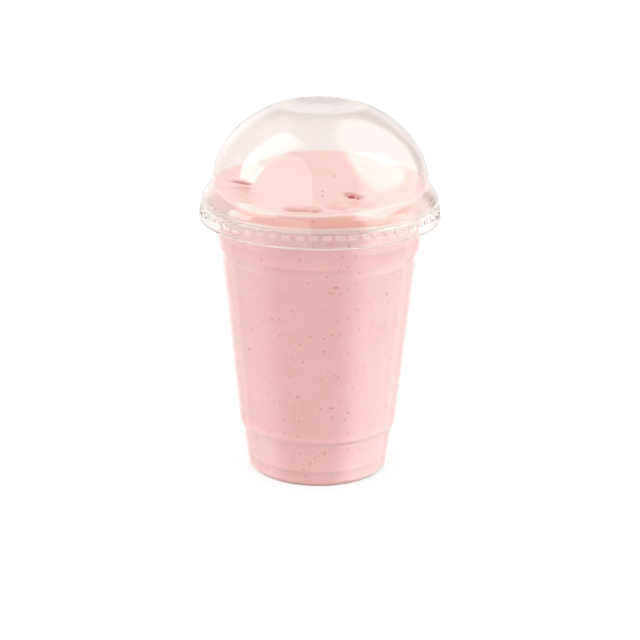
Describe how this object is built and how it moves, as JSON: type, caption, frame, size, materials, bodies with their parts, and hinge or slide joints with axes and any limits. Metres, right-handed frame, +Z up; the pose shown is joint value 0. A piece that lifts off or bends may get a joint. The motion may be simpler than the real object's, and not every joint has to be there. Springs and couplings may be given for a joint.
{
  "type": "strawberry milkshake",
  "caption": "Thick pale pink strawberry milkshake in a clear tapered plastic cup, under a clear pressed-on dome lid with a shallow round recess in its top.",
  "frame": {"origin": "centre of the flat foot ring that the cup stands on", "axes": "+Z up along the cup's axis; -Y is the side that faces the camera"},
  "size_m": [0.102, 0.102, 0.1592],
  "materials": {
    "cup_plastic": "clear thermoformed PET, glossy",
    "lid_plastic": "clear thermoformed PET, glossy",
    "shake": "thick blended dairy shake, soft moist sheen, with fine fruit flecks"
  },
  "bodies": {
    "root": {"cup": "cup_plastic", "lid": "lid_plastic", "milkshake": "shake"}
  },
  "joints": []
}
